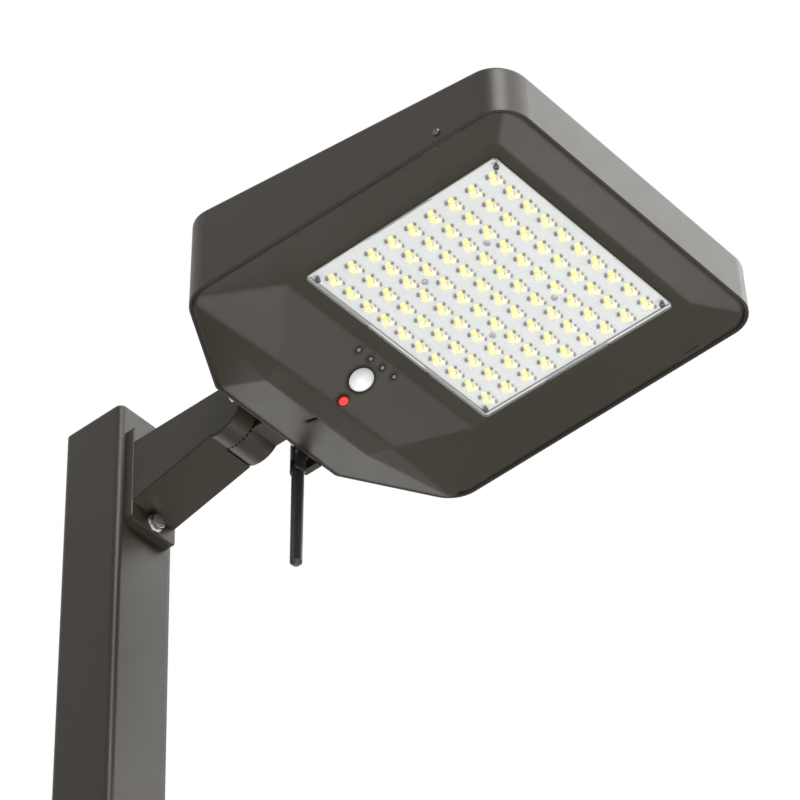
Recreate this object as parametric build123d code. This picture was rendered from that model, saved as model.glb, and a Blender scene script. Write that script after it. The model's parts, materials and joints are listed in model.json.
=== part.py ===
from build123d import *
import os
from math import atan2, cos, radians, sin, sqrt, tan

os.makedirs("parts", exist_ok=True)

# Solar street light on a square pole, in mm.
# X points from the pole to the front of the head, Z is up, and the origin is on the pole's axis
# under the base plate. The head is built about the plane of its LED board, which is z = 0 there,
# and is then lifted to its height on the pole.

# Pole and its foot
pole_side = 101.6
pole_wall = 3.0
pole_corner = 9.5
pole_length = 3658.0
base_side = 254.0
base_thick = 19.0
base_corner = 12.0
anchor_spacing = 162.0
anchor_hole_r = 12.5
weld_leg = 8.0
cap_top = 3.0
cap_skirt = 22.0
cap_wall = 2.5
cap_clearance = 0.3
cover_above_base = 430.0
cover_width = 76.0
cover_height = 150.0
cover_thick = 3.0
cover_lap = 12.0

# Height of the cap's top above the LED plane
head_drop = 135.2

# Arm: its plate on the pole, its body, and the barrel that it shares with the head's bracket
plate_thick = 14.2
plate_width = 80.0
plate_low = -61.3
plate_high = 95.5
plate_corner = 8.0
arm_width = 78.0
arm_top = 69.0
arm_under_at_plate = -33.5
arm_under_at_barrel = -4.8
arm_wall = 7.0
arm_edge = 3.0
pivot_x = 213.0
arm_end_before_pivot = 14.0
arm_cavity_before_pivot = 45.0
pivot_z = 30.0
barrel_r = 37.5
barrel_gap = 1.6
tooth_plane = -7.0
tooth_face_gap = 0.5
tooth_count = 36
tooth_depth = 1.5
tooth_width = 1.8
tooth_length = 9.0

# Bracket on the rear wall of the head's neck
flange_thick = 8.0
flange_low = -7.0
flange_high = 68.0
flange_left = -80.0
flange_right = 50.0
web_low = 4.0
web_high = 58.0
bracket_bolt_ys = (-68.0, 44.8)
bracket_bolt_zs = (0.5, 56.0)
bracket_edge = 2.0

# Metric screws: shank radius, width across flats, head height, washer radius and thickness,
# then the shares of a round head that its rounding and its cross recess take
m12 = dict(shank_r=6.0, flats=19.0, head=7.5, washer_r=12.0, washer=2.5)
m6 = dict(shank_r=3.0, flats=10.0, head=4.0, washer_r=5.5, washer=1.6)
head_rounding = 0.45
cross_width = 0.28
cross_reach = 1.3
cross_floor = 0.55
thread_fit = 0.05
bolt_hole_gap = 0.5
small_hole_gap = 0.25
bolt_crown = 1.06
pivot_fit = 0.1
plate_bolt_zs = (-48.0, 82.0)
backing_thick = 8.0
backing_width = 50.0
backing_side_gap = 0.5
plate_bolt_spare = 4.0
pivot_thread = 24.0
bracket_bolt_grip = 9.0

# Plan of the head at its rim, for one side: front, rear and neck corners
rim_z = -19.5
front_x = 849.8
front_half = 243.4
rear_x = 357.0
rear_half = 253.4
neck_x = 274.9
neck_half = 110.9
front_corner_r = 44.0
rear_corner_r = 48.0
neck_corner_r = 14.0

# Upper housing: a wedge whose roof carries the solar panel
wall = 2.6
draft = 1.2
roof_front_z = 54.3
roof_tilt = 7.3
roof_edge_r = 6.0
roof_skin = 3.0
pad_margin = 2.0
pad_depth = 12.0

# Bottom cover: a shallow dish round the light, and a bulge that carries the sensor
cover_wall = 3.0
gasket_gap = 2.2
gasket_rise = 0.4
gasket_height = 6.0
ledge_z = -1.5
ledge_front_border = 15.7
ledge_rear_border = 23.8
ledge_front_side_border = 13.4
ledge_rear_side_border = 6.5
bulge_z = -37.6
panel_run = 74.1
panel_low_half = 104.5
bulge_flat = 33.9
bulge_fold_r = 14.0
bulge_rear_half = 93.6
slot_length = 17.4
slot_width = 3.7
slot_y = -1.0
side_screw_from_front = 100.8
side_screw_z = -5.0
side_screw_r = 2.5
side_screw_head_r = 4.4
side_screw_head = 2.6
lug_width = 22.0
lug_thick = 6.0
lug_top = 4.0
lug_gap = 0.3

# Solar panel, along and across the roof
panel_front_margin = 26.0
panel_rear_margin = 9.0
panel_side_margin = 15.4
panel_seal_width = 3.0
backsheet_thick = 0.6
cell_thick = 0.4
glass_thick = 3.2
cells_each_way = 6
cell_gap = 2.0
cell_corner = 8.0
cell_border = 7.0
grommet_r = 9.0
grommet_lip = 2.5
grommet_bore_r = 3.5

# Light source: board, chips and the moulded lens plate
led_columns = 9
led_rows = 10
led_first_x = 495.9
led_pitch_x = 31.45
led_pitch_y = 31.7
lens_front_border = 24.5
lens_rear_border = 21.2
lens_side_border = 25.95
lens_plate_thick = 3.0
lens_plate_corner = 6.0
lens_seal_thick = 1.0
lens_seal_width = 2.6
lens_margin = 3.5
board_gap = 0.5
board_thick = 1.6
chip_side = 5.0
chip_thick = 0.8
lens_dome_r = 8.5
lens_dome_height = 5.0
lens_lobe_offset = 3.8
lens_pocket_r = 4.6
lens_pocket_depth = 2.0
notch_r = 2.2
notch_half = 57.0
corner_screw_rear_inset = 9.8
corner_screw_front_inset = 8.0
corner_screw_side_inset = 12.1
board_screw_columns = (2.5, 5.6)
board_screw_rows = 2
board_screw_head_r = 4.4
board_screw_head = 2.0
lens_screw_r = 2.0
lens_screw_head_r = 3.8
lens_screw_head = 2.2
lens_screw_bite = 3.5
heat_sink_margin = 9.0
heat_sink_side_margin = 1.4
heat_sink_base = 5.0
heat_sink_height = 28.0
fin_count = 22
fin_thick = 2.0

# Battery and charge controller
cell_r = 16.2
battery_length = 70.5
battery_spare = 0.6
battery_rows = 4
battery_columns = 4
battery_from_rear = -37.0
tray_z = 6.0
tray_thick = 2.0
tray_lip = 16.0
tray_margin = 3.0
post_r = 6.0
rear_post_row = 1
rear_post_y = 78.0
front_post_row = 3
front_post_y = 132.0
tray_screw_r = 2.0
tray_screw_head_r = 3.8
tray_screw_head = 2.4
tray_screw_length = 7.0
post_screw_head_r = 2.9
post_screw_head = 1.0
strap_width = 18.0
strap_thick = 1.2
strap_half = 72.0
controller_from_middle = -23.35
controller_size = (120.0, 84.0, 28.0)
controller_hang = 7.4
controller_foot = 10.0
controller_edge_r = 4.0
controller_foot_thick = 3.0
controller_boss_r = 5.0
controller_screw_r = 2.0
controller_screw_bite = 5.0

# Sensor, indicators and button, as distances down the slope of their panel
indicator_at = 10.9
indicator_pitch = 21.8
indicator_count = 4
indicator_r = 2.5
indicator_hole_r = 3.3
indicator_proud = 0.5
indicator_collar_r = 4.4
indicator_collar = 1.2
indicator_depth = 6.0
sensor_at = 38.5
sensor_lens_r = 16.4
sensor_dome = 9.0
sensor_dome_wall = 1.2
sensor_seal = 0.9
sensor_seal_proud = 0.5
sensor_flange = 2.6
sensor_flange_thick = 1.5
sensor_holder_depth = 9.0
sensor_can_r = 4.6
sensor_can = 5.0
circuit_thick = 1.6
button_at = 72.8
button_r = 6.4
button_gap = 0.4
button_proud = 3.2
button_depth = 5.0
button_travel = 1.5
button_stem_r = 2.5
switch_wall = 1.1
switch_depth = 20.0

# Antenna beside the neck: an ear on the neck's wall, a swivelling elbow and the whip
elbow_from_neck = 18.2
elbow_y = 60.8
elbow_z = 0.0
ear_near_y = 75.0
ear_far_y = 84.0
ear_behind_elbow = 11.2
ear_low = -21.0
ear_high = 14.0
ear_bevel = 4.0
ear_foot = 15.0
ear_foot_thick = 6.0
ear_foot_low = -4.0
ear_foot_high = 28.0
ear_screw_r = 2.0
ear_screw_head_r = 3.8
ear_screw_head = 2.4
antenna_base_r = 10.2
antenna_base_top = 9.0
antenna_base_edge = 2.0
antenna_neck_r = 8.5
elbow_pin_drop = 26.5
whip_r = 8.2
whip_tip_r = 7.8
whip_length = 184.0
whip_lean = 1.7
whip_bevel = 0.8
whip_tip_bevel = 4.5
elbow_face_gap = 0.3
tongue_thick = 6.0
tongue_gap = 0.3
tongue_r = 7.5
shoulder_gap = 0.5
elbow_pin_r = 2.0
elbow_pin_fit = 0.05
elbow_pin_inset = 0.2
stub_r = 3.2
stub_length = 4.5
stub_fit = 0.06
connector_nut_flats = 11.0
connector_nut = 3.0
connector_tail = 6.0

# Worked out from the sizes above
pole_face = pole_side / 2
pole_top = base_thick + pole_length
led_z = pole_top + cap_top - head_drop
arm_start = pole_face + plate_thick
flange_rear = neck_x - flange_thick
panel_angle = atan2(ledge_z - bulge_z, panel_run)
panel_skin = cover_wall * cos(panel_angle)
recess_depth = backsheet_thick + cell_thick + glass_thick
plate_rear_x = led_first_x - lens_rear_border
plate_front_x = led_first_x + (led_columns - 1) * led_pitch_x + lens_front_border
plate_half = (led_rows - 1) / 2 * led_pitch_y + lens_side_border
plate_mid_x = (plate_front_x + plate_rear_x) / 2
plate_length = plate_front_x - plate_rear_x
ledge_front_x = plate_front_x + ledge_front_border
ledge_front_half = plate_half + ledge_front_side_border
ledge_rear_x = plate_rear_x - ledge_rear_border
ledge_rear_half = plate_half + ledge_rear_side_border
panel_low_x = ledge_rear_x - panel_run
bulge_rear_x = panel_low_x - bulge_flat
side_screw_x = front_x - side_screw_from_front
heat_sink_half = plate_half + heat_sink_side_margin
roof_length = (front_x - rear_x) / cos(radians(roof_tilt))
panel_along = roof_length - panel_front_margin - panel_rear_margin - 2 * panel_seal_width
panel_across = 2 * (front_half - panel_side_margin)
elbow_x = neck_x - elbow_from_neck
pin_z = elbow_z - elbow_pin_drop
lens_plate_top = ledge_z - lens_seal_thick
lens_plate_low = lens_plate_top - lens_plate_thick
board_top = ledge_z + cover_wall
board_low = board_top - board_thick
chip_low = board_low - chip_thick


def beam(low, high):
    """Box between two opposite corners."""
    size = [b - a for a, b in zip(low, high)]
    middle = [(a + b) / 2 for a, b in zip(low, high)]
    return Pos(*middle) * Box(*size)


def rod(start, end, radius):
    """Cylinder from one point to another."""
    line = Vector(*end) - Vector(*start)
    foot = Plane(origin=start, z_dir=line)
    return foot * Cylinder(radius, line.length, align=(Align.CENTER, Align.CENTER, Align.MIN))


def hex_prism(start, axis, flats, height):
    """Hexagonal prism that stands on a point along an axis."""
    foot = Plane(origin=start, z_dir=axis)
    corner_r = flats / 2 / cos(radians(30))
    return extrude(foot * RegularPolygon(corner_r, 6), height)


def hex_bolt(seat, axis, size, length):
    """Hexagon bolt whose washer lies on a seat; the shank runs the other way."""
    out = Vector(*axis)
    under_head = Vector(*seat) + out * size["washer"]
    head = hex_prism(under_head, out, size["flats"], size["head"])
    crown_r = size["flats"] / 2 * bolt_crown
    dome = rod(under_head, under_head + out * size["head"], crown_r)
    shank = rod(under_head, Vector(*seat) - out * length, size["shank_r"])
    return (head & dome) + shank


def washer(seat, axis, size):
    """Flat washer on a seat."""
    out = Vector(*axis)
    top = Vector(*seat) + out * size["washer"]
    hole_r = size["shank_r"] + thread_fit
    return rod(seat, top, size["washer_r"]) - rod(seat, top, hole_r)


def pan_screw(seat, axis, radius, head_r, head, length):
    """Round-headed screw whose head lies on a seat, with a cross recess."""
    out = Vector(*axis)
    foot = Plane(origin=seat, z_dir=out)
    grow = (Align.CENTER, Align.CENTER, Align.MIN)
    cap = foot * Cylinder(head_r, head, align=grow)
    top = cap.edges().sort_by(lambda e: (e.center() - Vector(*seat)).dot(out))[-1]
    rounded = fillet(top, head * head_rounding)
    width = head_r * cross_width
    reach = head_r * cross_reach
    floor = foot * Pos(0, 0, head * cross_floor)
    cross = floor * Box(width, reach, head, align=grow) + floor * Box(reach, width, head, align=grow)
    return (rounded - cross) + rod(seat, Vector(*seat) - out * length, radius)


def both_sides(points):
    """Closed outline from the points of its +Y side, mirrored in the X axis."""
    return list(points) + [(x, -y) for x, y in reversed(points)]


def rim_face(inset=0.0, z=0.0):
    """Plan of the head at its rim, or that plan moved inwards."""
    corners = both_sides([(front_x, front_half), (rear_x, rear_half), (neck_x, neck_half)])
    one_side = [front_corner_r, rear_corner_r, neck_corner_r]
    line = FilletPolyline(*corners, radius=one_side + one_side[::-1], close=True)
    face = make_face(line)
    if inset:
        face = offset(face, amount=-inset, kind=Kind.ARC)
    return Pos(0, 0, z) * face


def roof_plane(depth=0.0):
    """Plane of the roof, or one below it; local x runs down to the front."""
    tilt = radians(roof_tilt)
    normal = Vector(sin(tilt), 0, cos(tilt))
    origin = Vector(front_x, 0, roof_front_z) - normal * depth
    return Plane(origin=origin, x_dir=(cos(tilt), 0, -sin(tilt)), z_dir=normal)


def below_roof(solid, depth=0.0):
    """What is left of a solid under the roof, or under a plane below it."""
    reach = 2 * front_x
    return solid - roof_plane(depth) * Box(reach, reach, reach, align=(Align.CENTER, Align.CENTER, Align.MIN))


def sensor_plane(along, across=0.0, depth=0.0):
    """Frame on the sloped sensor panel: x runs down the slope, z points out."""
    slope = Vector(-cos(panel_angle), 0, -sin(panel_angle))
    out = Vector(sin(panel_angle), 0, -cos(panel_angle))
    origin = Vector(ledge_rear_x, across, ledge_z) + slope * along - out * depth
    return Plane(origin=origin, x_dir=slope, z_dir=out)


def led_places():
    """Plan position of every LED."""
    for column in range(led_columns):
        for row in range(led_rows):
            yield led_first_x + column * led_pitch_x, (row - (led_rows - 1) / 2) * led_pitch_y


def lens_screw_places():
    """Plan position of the screw in every corner of the lens plate."""
    half = plate_half - corner_screw_side_inset
    for x in (plate_rear_x + corner_screw_rear_inset, plate_front_x - corner_screw_front_inset):
        yield x, half
        yield x, -half


def board_screw_places():
    """Plan position of the screws between the LEDs, under the lens plate."""
    for column in board_screw_columns:
        for side in (-1, 1):
            yield led_first_x + column * led_pitch_x, side * board_screw_rows * led_pitch_y


# Pole and foot

def pole_tube(side, corner, low, high):
    """Square bar with rounded corners between two heights."""
    return extrude(Pos(0, 0, low) * RectangleRounded(side, side, corner), high - low)


def hand_hole_screw_places():
    """Heights of the two screws of the hand-hole cover."""
    middle = base_thick + cover_above_base
    reach = cover_height / 2 - cover_lap / 2
    return middle - reach, middle + reach


def pole():
    """Square tube with a hand hole and the holes for the arm's bolts."""
    tube = pole_tube(pole_side, pole_corner, base_thick, pole_top)
    inside = pole_tube(pole_side - 2 * pole_wall, pole_corner - pole_wall, base_thick, pole_top)
    tube -= inside
    middle = base_thick + cover_above_base
    hole_half_y = cover_width / 2 - cover_lap
    hole_half_z = cover_height / 2 - cover_lap
    inner = pole_face - pole_wall
    low = (inner - 1, -hole_half_y, middle - hole_half_z)
    high = (pole_face + 1, hole_half_y, middle + hole_half_z)
    tube -= beam(low, high)
    for z in hand_hole_screw_places():
        tube -= rod((inner - 1, 0, z), (pole_face + 1, 0, z), tray_screw_r + thread_fit)
    for z in plate_bolt_zs:
        tube -= rod((inner - 1, 0, led_z + z), (pole_face + 1, 0, led_z + z), m12["shank_r"] + bolt_hole_gap)
    return tube


def base_plate():
    """Square foot plate with four anchor holes and the weld round the pole."""
    plate = extrude(RectangleRounded(base_side, base_side, base_corner), base_thick)
    for x in (-anchor_spacing / 2, anchor_spacing / 2):
        for y in (-anchor_spacing / 2, anchor_spacing / 2):
            plate -= rod((x, y, -1), (x, y, base_thick + 1), anchor_hole_r)
    plate = chamfer(plate.faces().sort_by(Axis.Z)[-1].outer_wire().edges(), 2.0)
    outside = RectangleRounded(pole_side + 2 * weld_leg, pole_side + 2 * weld_leg, pole_corner + weld_leg)
    weld = extrude(Pos(0, 0, base_thick) * outside, weld_leg - thread_fit, taper=45)
    weld -= pole_tube(pole_side + 2 * thread_fit, pole_corner, base_thick, base_thick + weld_leg)
    return plate + weld


def pole_cap():
    """Plug that closes the top of the pole."""
    lid = extrude(Pos(0, 0, pole_top) * RectangleRounded(pole_side, pole_side, pole_corner), cap_top)
    lid = chamfer(lid.faces().sort_by(Axis.Z)[-1].edges(), 1.0)
    side = pole_side - 2 * pole_wall - 2 * cap_clearance
    corner = pole_corner - pole_wall
    skirt = pole_tube(side, corner, pole_top - cap_skirt, pole_top)
    skirt -= pole_tube(side - 2 * cap_wall, corner - cap_wall, pole_top - cap_skirt, pole_top)
    return lid + skirt


def hand_hole_cover():
    """Flat plate over the hand hole."""
    middle = base_thick + cover_above_base
    face = Plane(origin=(pole_face, 0, middle), x_dir=(0, 1, 0), z_dir=(1, 0, 0))
    plate = extrude(face * RectangleRounded(cover_width, cover_height, cover_lap / 2), cover_thick)
    for z in hand_hole_screw_places():
        plate -= rod((pole_face - 1, 0, z), (pole_face + cover_thick + 1, 0, z), tray_screw_r + bolt_hole_gap)
    return plate


def hand_hole_screws():
    """Two screws of the hand-hole cover."""
    seat_x = pole_face + cover_thick
    length = cover_thick + pole_wall + 2
    sizes = (tray_screw_r, tray_screw_head_r, tray_screw_head, length)
    return [pan_screw((seat_x, 0, z), (1, 0, 0), *sizes) for z in hand_hole_screw_places()]


# Arm and knuckle

def barrel(low_y, high_y, grow=0.0):
    """Round knuckle between two values of Y."""
    return rod((pivot_x, low_y, pivot_z), (pivot_x, high_y, pivot_z), barrel_r + grow)


def tooth_grooves(face_y):
    """Radial grooves in a knuckle face, which leave its clamping teeth."""
    grooves = []
    for tooth in range(tooth_count):
        turn = Pos(pivot_x, face_y, pivot_z) * Rot(0, 360 / tooth_count * tooth, 0)
        middle = barrel_r - tooth_length / 2 + 1
        grooves.append(turn * Pos(middle, 0, 0) * Box(tooth_length + 2, 2 * tooth_depth, tooth_width))
    return grooves


def mounting_arm():
    """Arm with its plate against the pole and its half of the toothed knuckle."""
    plate = Plane(origin=(pole_face, 0, (plate_low + plate_high) / 2), x_dir=(0, 1, 0), z_dir=(1, 0, 0))
    arm = extrude(plate * RectangleRounded(plate_width, plate_high - plate_low, plate_corner), plate_thick)
    arm = chamfer(arm.faces().sort_by(Axis.X)[-1].edges(), 1.5)
    half = arm_width / 2
    side = [
        (arm_start - 1, arm_under_at_plate),
        (pivot_x - arm_end_before_pivot, arm_under_at_barrel),
        (pivot_x, pivot_z),
        (pivot_x, pivot_z + barrel_r),
        (arm_start - 1, arm_top),
    ]
    wire = Polyline(*[(x, 0, z) for x, z in side], close=True)
    body = extrude(make_face(wire), half, both=True)
    body += barrel(-half, half)
    rims = [e for e in body.edges() if abs(abs(e.center().Y) - half) < 0.01 and e.center().X > arm_start]
    arm += fillet(rims, arm_edge)
    low_y = tooth_plane - tooth_face_gap / 2
    arm -= barrel(low_y, half + 1, barrel_gap)
    reach = barrel_r + 1
    arm -= beam((pivot_x, low_y, pivot_z - reach), (pivot_x + reach, half + 1, pivot_z + reach))
    for groove in tooth_grooves(low_y):
        arm -= groove
    inner = half - arm_wall
    lower = arm_under_at_plate + arm_wall + 2
    upper = arm_top - arm_wall
    end_low = arm_under_at_barrel + arm_wall
    end = pivot_x - arm_cavity_before_pivot
    corners = [(pole_face - 1, lower), (end, end_low), (end, upper), (pole_face - 1, upper)]
    hollow = Polyline(*[(x, 0, z) for x, z in corners], close=True)
    arm -= extrude(make_face(hollow), inner, both=True)
    for z in plate_bolt_zs:
        arm -= rod((pole_face - 1, 0, z), (arm_start + 1, 0, z), m12["shank_r"] + bolt_hole_gap)
    thread_end = low_y - pivot_thread - 1
    arm -= rod((pivot_x, low_y + 1, pivot_z), (pivot_x, thread_end, pivot_z), m12["shank_r"] + thread_fit)
    return arm


def plate_bolts():
    """Two bolts that hold the arm to the pole."""
    length = plate_thick + pole_wall + backing_thick + plate_bolt_spare
    return [hex_bolt((arm_start, 0, z), (1, 0, 0), m12, length) for z in plate_bolt_zs]


def plate_washers():
    """Washers of the arm's two bolts."""
    return [washer((arm_start, 0, z), (1, 0, 0), m12) for z in plate_bolt_zs]


def backing_bar():
    """Tapped bar inside the pole, behind the arm's plate."""
    face = pole_face - pole_wall
    half = backing_width / 2 - backing_side_gap
    bar = beam((face - backing_thick, -half, plate_low), (face, half, plate_high))
    for z in plate_bolt_zs:
        bar -= rod((face - backing_thick - 1, 0, z), (face + 1, 0, z), m12["shank_r"] + thread_fit)
    return bar


def pivot_bolt():
    """Bolt on the knuckle's axis, screwed into the arm's half."""
    face = arm_width / 2
    length = face - tooth_plane + pivot_thread
    return hex_bolt((pivot_x, face, pivot_z), (0, 1, 0), m12, length)


def pivot_washer():
    """Washer under the head of the knuckle's bolt."""
    return washer((pivot_x, arm_width / 2, pivot_z), (0, 1, 0), m12)


def bracket_bolt_places():
    """Places of the four bolts in the flange on the neck."""
    return [(y, z) for y in bracket_bolt_ys for z in bracket_bolt_zs]


def head_bracket():
    """The head's half of the knuckle, with a web and a flange for the neck."""
    half = arm_width / 2
    low_y = tooth_plane + tooth_face_gap / 2
    body = barrel(low_y, half)
    body += beam((pivot_x, low_y, web_low), (flange_rear + 1, half, web_high))
    body = fillet(body.edges().filter_by(lambda e: abs(e.center().Y - half) < 0.01), bracket_edge)
    flange = beam((flange_rear, flange_left, flange_low), (neck_x, flange_right, flange_high))
    flange = fillet(flange.edges().filter_by(Axis.X), bracket_edge * 3)
    body += flange
    for groove in tooth_grooves(low_y):
        body -= groove
    body -= rod((pivot_x, low_y - 1, pivot_z), (pivot_x, half + 1, pivot_z), m12["shank_r"] + pivot_fit)
    for y, z in bracket_bolt_places():
        body -= rod((flange_rear - 1, y, z), (neck_x + 1, y, z), m6["shank_r"] + bolt_hole_gap)
    return body


def bracket_bolts():
    """Four bolts through the bracket's flange into the neck."""
    length = flange_thick + bracket_bolt_grip
    return [hex_bolt((flange_rear, y, z), (-1, 0, 0), m6, length) for y, z in bracket_bolt_places()]


def bracket_washers():
    """Washers of the four flange bolts."""
    return [washer((flange_rear, y, z), (-1, 0, 0), m6) for y, z in bracket_bolt_places()]


# Head: housing and cover

def panel_middle_x():
    """Local x of the solar panel's middle on the roof."""
    return -panel_front_margin - panel_along / 2 - panel_seal_width


def roof_recess():
    """Space in the roof that takes the solar panel and its seal."""
    grow = (Align.CENTER, Align.CENTER, Align.MIN)
    size = (panel_along + 2 * panel_seal_width, panel_across + 2 * panel_seal_width)
    return roof_plane(recess_depth) * Pos(panel_middle_x(), 0, 0) * Box(*size, recess_depth + 20, align=grow)


def controller_feet():
    """Plan position of the controller's four screws."""
    middle = plate_mid_x + controller_from_middle
    half_x = controller_size[0] / 2 + controller_foot / 2
    half_y = controller_size[1] / 2 - controller_foot
    return [(middle + a * half_x, b * half_y) for a in (-1, 1) for b in (-1, 1)]


def controller_top():
    """Height of the controller's feet: under the lowest part of the roof above them."""
    front = plate_mid_x + controller_from_middle + controller_size[0] / 2 + controller_foot
    roof = roof_front_z + (front_x - front) * tan(radians(roof_tilt))
    return roof - (recess_depth + roof_skin) / cos(radians(roof_tilt)) - controller_hang


def upper_housing():
    """Wedge-shaped shell, open below, with a recessed roof and a thick neck wall."""
    height = roof_front_z + front_x * tan(radians(roof_tilt))
    shell = below_roof(extrude(rim_face(z=rim_z), height, taper=draft))
    top = shell.faces().sort_by(SortBy.AREA)[-2:].sort_by(Axis.Z)[-1]
    shell = fillet(top.outer_wire().edges(), roof_edge_r)
    inside = extrude(rim_face(inset=wall, z=rim_z), height, taper=draft)
    pad_low = flange_low - pad_margin
    pad_end = ear_far_y + ear_foot
    pad = beam((neck_x, flange_left - pad_margin, pad_low), (neck_x + pad_depth, pad_end, flange_high))
    inside -= pad
    shell -= below_roof(inside, recess_depth + roof_skin)
    shell += pad
    shell -= roof_recess()
    for x, y in controller_feet():
        boss = rod((x, y, controller_top()), (x, y, height), controller_boss_r)
        bore_end = controller_top() + controller_screw_bite + 1
        boss -= rod((x, y, controller_top()), (x, y, bore_end), controller_screw_r + thread_fit)
        shell += below_roof(boss, recess_depth + roof_skin / 2)
    for y, z in bracket_bolt_places():
        shell -= rod((neck_x - 1, y, z), (neck_x + bracket_bolt_grip + 1, y, z), m6["shank_r"] + thread_fit)
    ear_y = ear_screw_y()
    for z in ear_screw_zs():
        shell -= rod((neck_x - 1, ear_y, z), (neck_x + pad_depth / 2, ear_y, z), ear_screw_r + thread_fit)
    for side in (-1, 1):
        outside = side * (wall_inside(side_screw_x, side_screw_z) + 2 * wall)
        hole = (side_screw_x, 0, side_screw_z), (side_screw_x, outside, side_screw_z)
        shell -= rod(*hole, side_screw_r + bolt_hole_gap)
    middle = roof_plane(recess_depth) * Pos(panel_middle_x(), 0, 0)
    shell -= middle * Cylinder(grommet_r, 4 * roof_skin)
    return shell


def dish_slab():
    """Folded sheet of the bottom cover: every underside facet and the same facet one wall higher."""
    front = (ledge_front_x, ledge_front_half, ledge_z)
    rear = (ledge_rear_x, ledge_rear_half, ledge_z)
    low = (panel_low_x, panel_low_half, bulge_z)
    heel = (bulge_rear_x, bulge_rear_half, bulge_z)
    rim_front = (front_x, front_half, rim_z)
    rim_rear = (rear_x, rear_half, rim_z)
    rim_neck = (neck_x, neck_half, rim_z)

    def other(point):
        return (point[0], -point[1], point[2])

    def raised(point):
        return (point[0], point[1], point[2] + cover_wall)

    across = [(front, rim_front), (front, rear), (rear, low), (low, heel), (heel, rim_neck)]
    flat = [(a, other(a), other(b), b) for a, b in across]
    for keep in (lambda p: p, other):
        flat += [[keep(p) for p in corners] for corners in ((rear, low, rim_rear), (low, heel, rim_rear),
                                                            (heel, rim_neck, rim_rear))]
    faces = []
    for corners in flat:
        faces.append(Face(Wire.make_polygon(corners)))
        faces.append(Face(Wire.make_polygon([raised(p) for p in corners])))
    for keep in (lambda p: p, other):
        for lift in (lambda p: p, raised):
            inner = Edge.make_line(lift(keep(front)), lift(keep(rear)))
            outer = Edge.make_line(lift(keep(rim_front)), lift(keep(rim_rear)))
            faces.append(Face.make_surface_from_curves(inner, outer))
    edge = [rim_front, rim_rear, rim_neck, other(rim_neck), other(rim_rear), other(rim_front)]
    for a, b in zip(edge, edge[1:] + edge[:1]):
        faces.append(Face(Wire.make_polygon([a, b, raised(b), raised(a)])))
    slab = Solid(Shell(faces))
    for fold_x in (panel_low_x, bulge_rear_x):
        fold = slab.edges().sort_by_distance(Vector(fold_x, 0, bulge_z))[0]
        slab = slab.fillet(bulge_fold_r, [fold])
    return slab


def side_slope():
    """How fast the head's long sides spread towards the rear."""
    return (rear_half - front_half) / (front_x - rear_x)


def wall_inside(x, z):
    """Half-width of the housing's inner face at a place on its long side."""
    outer = front_half + (front_x - x) * side_slope()
    return outer - (z - rim_z) * tan(radians(draft)) - wall


def lug_outside():
    """Half-width of the outer face of the cover's lugs, inside the gasket and the leaning wall."""
    return wall_inside(side_screw_x + lug_width / 2, lug_top) - gasket_gap - lug_gap


def bottom_cover():
    """Folded cover with openings for the light, sensor, indicators and button."""
    low = bulge_z - 1
    prism = extrude(rim_face(inset=wall + gasket_gap, z=low), ledge_z + cover_wall + 1 - low)
    cover = dish_slab() & prism
    half = plate_half - lens_margin
    rear = plate_rear_x + lens_margin
    cover -= beam((rear, -half, ledge_z - 1), (plate_front_x - lens_margin, half, board_top + 1))
    cover -= sensor_plane(sensor_at) * Cylinder(sensor_lens_r + sensor_seal, 4 * cover_wall)
    cover -= sensor_plane(button_at) * Cylinder(button_r + button_gap, 4 * cover_wall)
    for y in indicator_ys():
        cover -= sensor_plane(indicator_at, y) * Cylinder(indicator_hole_r, 4 * cover_wall)
    slot_low = (bulge_rear_x - slot_length, slot_y - slot_width / 2, bulge_z - 1)
    cover -= beam(slot_low, (bulge_rear_x, slot_y + slot_width / 2, rim_z + cover_wall + 1))
    outer = lug_outside()
    lug_foot = rim_z + cover_wall - 1
    for side in (-1, 1):
        lug = beam((side_screw_x - lug_width / 2, outer - lug_thick, lug_foot),
                   (side_screw_x + lug_width / 2, outer, lug_top))
        bore = (side_screw_x, outer - 2 * lug_thick, side_screw_z), (side_screw_x, outer + 1, side_screw_z)
        lug -= rod(*bore, side_screw_r + thread_fit)
        cover += lug if side > 0 else mirror(lug, about=Plane.XZ)
    reach = 2 * rear_half
    below_panel = sensor_plane(0, depth=cover_wall / 2)
    below_panel *= Box(reach, reach, reach, align=(Align.CENTER, Align.CENTER, Align.MIN))
    for x, y in tray_screw_places():
        post = rod((x, y, bulge_z + cover_wall / 2), (x, y, tray_z), post_r)
        if x > panel_low_x:
            post -= below_panel
        bore_end = tray_z - tray_screw_length - 1
        cover += post - rod((x, y, bore_end), (x, y, tray_z + 1), tray_screw_r + thread_fit)
    return cover


def rim_gasket():
    """Rubber edging between the housing's wall and the cover."""
    low = rim_z + gasket_rise
    outer = wall + gasket_rise * tan(radians(draft)) + thread_fit
    ring = rim_face(inset=outer, z=low) - rim_face(inset=wall + gasket_gap - thread_fit, z=low)
    return extrude(ring, gasket_height, taper=draft)


def side_screws():
    """Screws through the housing's long sides into the cover's lugs."""
    screws = []
    lean = tan(radians(draft)) + side_slope()
    for side in (-1, 1):
        seat_y = wall_inside(side_screw_x, side_screw_z) + wall + side_screw_head_r * lean
        length = seat_y - lug_outside() + lug_thick + 1
        screws.append(pan_screw((side_screw_x, side * seat_y, side_screw_z), (0, side, 0), side_screw_r,
                                side_screw_head_r, side_screw_head, length))
    return screws


# Solar panel

def on_roof(depth, thick, along, across):
    """Flat sheet under the roof's surface, centred on the panel."""
    grow = (Align.CENTER, Align.CENTER, Align.MIN)
    return roof_plane(depth) * Pos(panel_middle_x(), 0, 0) * Box(along, across, thick, align=grow)


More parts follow.
